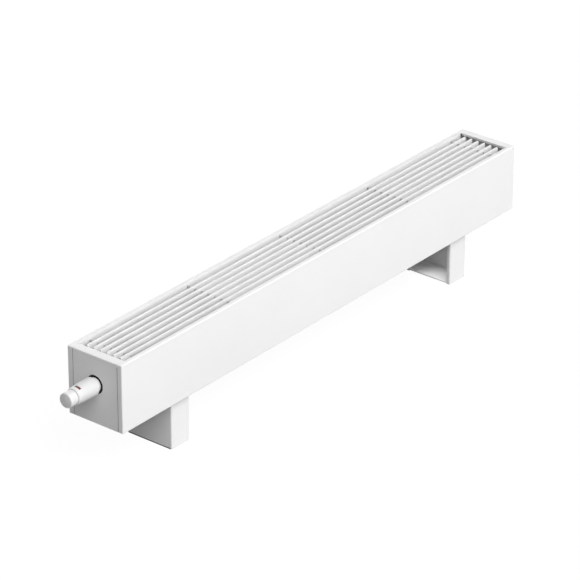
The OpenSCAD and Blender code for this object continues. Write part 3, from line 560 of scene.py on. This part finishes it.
def screws(node, outwards=False):
    """A cap screw in place of each screw of a node, tip upwards or outwards."""
    parts = []
    for low, high in solids(node):
        middle = (low + high) / 2
        head_radius = (high.x - low.x) / 2
        diameter = head_radius / HEAD_RADIUS_SHARE
        head_length = HEAD_LENGTH_SHARE * diameter
        axis = 1 if outwards else 2
        way = -1 if outwards and middle.y < 0 else 1
        direction = Vector((0, way, 0)) if outwards else UP
        place = middle.copy()
        place[axis] = low[axis] + head_length if way > 0 else high[axis] - head_length
        length = high[axis] - low[axis] - head_length
        parts.append(
            socket_screw(place, direction, diameter / 2, length, head_radius, head_length))
    make_piece(node.replace("_screws", "_cap_screws"), parts, "zinc", "root", [node])


def make_foot_nuts():
    """A hexagon nut in place of each nut of the feet."""
    parts = []
    for low, high in solids("foot_nuts"):
        af = high.y - low.y
        bore = af / NUT_SHARE / 2 + FIT
        place = ((low.x + high.x) / 2, (low.y + high.y) / 2, low.z)
        parts.append(hex_nut(place, UP, af, high.z - low.z, bore))
    make_piece("foot_hex_nuts", parts, "zinc", "root", ["foot_nuts"])


# Radii of the union nut's thread and of the hole in its lip, and the lip's length
UNION_BORE = 12.65 * MM
UNION_LIP_BORE = 9.15 * MM
UNION_LIP = 3 * MM


def make_union_nuts():
    """A hexagon nut with its lip in place of each union nut."""
    parts = []
    for low, high in solids("union_nuts"):
        place = (low.x, (low.y + high.y) / 2, (low.z + high.z) / 2)
        parts.append(hex_nut(
            place, INWARDS, high.y - low.y, high.x - low.x, UNION_BORE,
            UNION_LIP_BORE, UNION_LIP))
    make_piece("union_hex_nuts", parts, "nickel", "root", ["union_nuts"])


STEPS_PER_FLUTE = 8

# Radii of the head nut's thread and of the hole in its lip, and its other measures
HEAD_NUT_BORE = 15.15 * MM
HEAD_NUT_LIP_BORE = 14.15 * MM
HEAD_NUT_LIP = 2 * MM
HEAD_NUT_EDGE = 0.8 * MM
HEAD_NUT_FLUTE = 0.7 * MM
HEAD_NUT_FLUTES = 30


def make_head_nut():
    """The ribbed nut that holds the head, with its lip towards the head."""
    low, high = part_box("head_nut")
    radius = (high.y - low.y) / 2
    length = high.x - low.x
    grip = fluted(radius, HEAD_NUT_FLUTE, HEAD_NUT_FLUTES)
    rings = [
        (HEAD_NUT_LIP_BORE, 0),
        (radius - HEAD_NUT_EDGE, 0),
        (grip, HEAD_NUT_EDGE),
        (grip, length - 2 * HEAD_NUT_EDGE),
        (radius - HEAD_NUT_FLUTE, length - HEAD_NUT_EDGE),
        (radius - HEAD_NUT_FLUTE, length),
        (HEAD_NUT_BORE, length),
        (HEAD_NUT_BORE, HEAD_NUT_LIP),
        (HEAD_NUT_LIP_BORE, HEAD_NUT_LIP),
    ]
    place = (low.x, (low.y + high.y) / 2, (low.z + high.z) / 2)
    nut = turned(rings, place, INWARDS, STEPS_PER_FLUTE * HEAD_NUT_FLUTES, closed=True)
    make_piece("head_ribbed_nut", [nut], "nut_plastic", "root", ["head_nut"])


# The lockshield cap: its wall, its flutes, the plain rim below them and its rounded top
COVER_WALL = 1.6 * MM
COVER_FLUTE = 0.7 * MM
COVER_FLUTES = 20
COVER_PLAIN = 3 * MM
COVER_EDGE = 1.5 * MM


def make_lockshield_cover():
    """The lockshield's cap, fluted for the fingers, with a plain rim and a rounded top."""
    low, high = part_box("lockshield_cap")
    radius = (high.x - low.x) / 2
    length = high.z - low.z
    grip = fluted(radius, COVER_FLUTE, COVER_FLUTES)
    rings = [
        (radius - COVER_WALL, length - COVER_WALL),
        (radius - COVER_WALL, 0),
        (radius, 0),
        (radius, COVER_PLAIN),
        (grip, COVER_PLAIN + COVER_FLUTE),
        (grip, length - COVER_EDGE - COVER_FLUTE),
        (radius - COVER_FLUTE, length - COVER_EDGE),
        (radius - COVER_EDGE, length - COVER_EDGE / 3),
        (radius - 2 * COVER_EDGE, length),
    ]
    place = ((low.x + high.x) / 2, (low.y + high.y) / 2, low.z)
    cover = turned(rings, place, UP, STEPS_PER_FLUTE * COVER_FLUTES)
    make_piece(
        "lockshield_fluted_cap", [cover], "head_plastic", "lockshield_cover",
        ["lockshield_cap"])


# How far the solder reaches along a tube, and out from it
SOLDER = 1.3 * MM


def make_solder():
    """A ring of solder where each tube enters its header, and its return bend."""
    parts = []
    for level, header in (("upper", "supply_header"), ("lower", "return_header")):
        for side in ("front", "back"):
            low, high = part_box(f"{level}_{side}_tube")
            middle = (low + high) / 2
            radius = (high.y - low.y) / 2
            socket_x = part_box(header)[1].x
            bell_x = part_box(f"{side}_return_bend")[0].x
            parts.append(fillet((socket_x, middle.y, middle.z), INWARDS, radius, SOLDER))
            parts.append(fillet((bell_x, middle.y, middle.z), -INWARDS, radius, SOLDER))
    make_piece("tube_solder", parts, "header_brass", "root")


screws("foot_screws")
screws("bracket_screws")
screws("joint_screws", outwards=True)
make_foot_nuts()
make_union_nuts()
make_head_nut()
make_lockshield_cover()
make_solder()


def make_floor():
    """A pale floor, which can't be seen from below.

    The camera and reflections see it glow near white and show the shadow. To all other
    light it is a plain grey.
    """
    mesh = bpy.data.meshes.new("floor")
    half = FLOOR_SIZE / 2
    corners = [(-half, -half, 0), (half, -half, 0), (half, half, 0), (-half, half, 0)]
    mesh.from_pydata(corners, [], [(0, 1, 2, 3)])
    floor = bpy.data.objects.new("floor", mesh)
    bpy.context.scene.collection.objects.link(floor)

    mat = bpy.data.materials.new("floor")
    mat.use_nodes = True
    tree = mat.node_tree
    tree.nodes.clear()
    new, link = tree.nodes.new, tree.links.new
    bounce = new("ShaderNodeBsdfDiffuse")
    bounce.inputs["Color"].default_value = (FLOOR_BOUNCE, FLOOR_BOUNCE, FLOOR_BOUNCE, 1)
    catch = new("ShaderNodeBsdfDiffuse")
    catch.inputs["Color"].default_value = (FLOOR_CATCH, FLOOR_CATCH, FLOOR_CATCH, 1)
    glow = new("ShaderNodeEmission")
    glow.inputs["Strength"].default_value = FLOOR_GLOW
    seen = new("ShaderNodeAddShader")
    link(catch.outputs[0], seen.inputs[0])
    link(glow.outputs[0], seen.inputs[1])
    side = new("ShaderNodeMixShader")
    link(direct_ray(tree), side.inputs["Fac"])
    link(bounce.outputs[0], side.inputs[1])
    link(seen.outputs[0], side.inputs[2])
    below = new("ShaderNodeMixShader")
    link(new("ShaderNodeNewGeometry").outputs["Backfacing"], below.inputs["Fac"])
    link(side.outputs[0], below.inputs[1])
    link(new("ShaderNodeBsdfTransparent").outputs[0], below.inputs[2])
    link(below.outputs[0], new("ShaderNodeOutputMaterial").inputs["Surface"])
    mesh.materials.append(mat)


def direct_ray(tree):
    """One for a camera, glossy or transmission ray, and zero for a diffuse one."""
    path = tree.nodes.new("ShaderNodeLightPath")
    total = path.outputs["Is Camera Ray"]
    for name in ("Is Glossy Ray", "Is Transmission Ray"):
        add = tree.nodes.new("ShaderNodeMath")
        add.operation = "MAXIMUM"
        tree.links.new(total, add.inputs[0])
        tree.links.new(path.outputs[name], add.inputs[1])
        total = add.outputs[0]
    return total


def make_room():
    """An even pale grey room, which the camera and reflections see and which lights nothing."""
    world = bpy.data.worlds.new("room")
    bpy.context.scene.world = world
    world.use_nodes = True
    tree = world.node_tree
    tree.nodes.clear()
    seen = tree.nodes.new("ShaderNodeBackground")
    out = tree.nodes.new("ShaderNodeOutputWorld")
    tree.links.new(direct_ray(tree), seen.inputs["Strength"])
    tree.links.new(seen.outputs[0], out.inputs["Surface"])


def make_suns():
    """The broad suns that light the object."""
    for k, (around, above, energy) in enumerate(SUNS):
        a, b = radians(around), radians(above)
        towards = Vector((-sin(a) * cos(b), -cos(a) * cos(b), sin(b)))
        lamp = bpy.data.lights.new(f"sun_{k}", "SUN")
        lamp.energy = energy
        lamp.angle = SUN_SPREAD
        sun = bpy.data.objects.new(f"sun_{k}", lamp)
        sun.rotation_mode = "QUATERNION"
        sun.rotation_quaternion = towards.to_track_quat("Z", "Y")
        bpy.context.scene.collection.objects.link(sun)


def make_fills():
    """The small lamps that lighten the feet inside."""
    for foot in ("near_foot_shell", "far_foot_shell"):
        low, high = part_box(foot)
        near_end = (low.x + high.x) / 2 < CASING_MID_X
        lamp = bpy.data.lights.new(f"fill_{foot}", "SPOT")
        lamp.energy = FILL_POWER
        lamp.spot_size = FILL_CONE
        lamp.spot_blend = 1
        lamp.shadow_soft_size = FILL_RADIUS
        fill = bpy.data.objects.new(f"fill_{foot}", lamp)
        fill.location = (
            high.x if near_end else low.x,
            low.y + FILL_Y_SHARE * (high.y - low.y),
            CASING_LOW.z - FILL_BELOW_CASING)
        fill.visible_camera = False
        fill.visible_glossy = False
        bpy.context.scene.collection.objects.link(fill)


def make_camera():
    """The photograph's camera."""
    level = Vector((sin(CAM_YAW), cos(CAM_YAW), 0))
    ahead = level * cos(CAM_PITCH) - UP * sin(CAM_PITCH)
    right = Vector((cos(CAM_YAW), -sin(CAM_YAW), 0))
    up = right.cross(ahead)
    aim = Vector((CASING_MID_X, 0, CASING_LOW.z + AIM_ABOVE_CASING_BOTTOM))
    place = aim - ahead * CAM_DISTANCE + right * CAM_RIGHT + up * CAM_UP
    lens = bpy.data.cameras.new("camera")
    lens.lens = CAM_LENS
    lens.sensor_width = CAM_SENSOR
    lens.clip_end = CAM_CLIP_END
    camera = bpy.data.objects.new("camera", lens)
    turn = Matrix((right, up, -ahead)).transposed()
    camera.matrix_world = Matrix.Translation(place) @ turn.to_4x4()
    bpy.context.scene.collection.objects.link(camera)
    bpy.context.scene.camera = camera


make_camera()
make_floor()
make_room()
make_suns()
make_fills()
bpy.context.scene.view_settings.view_transform = "Standard"
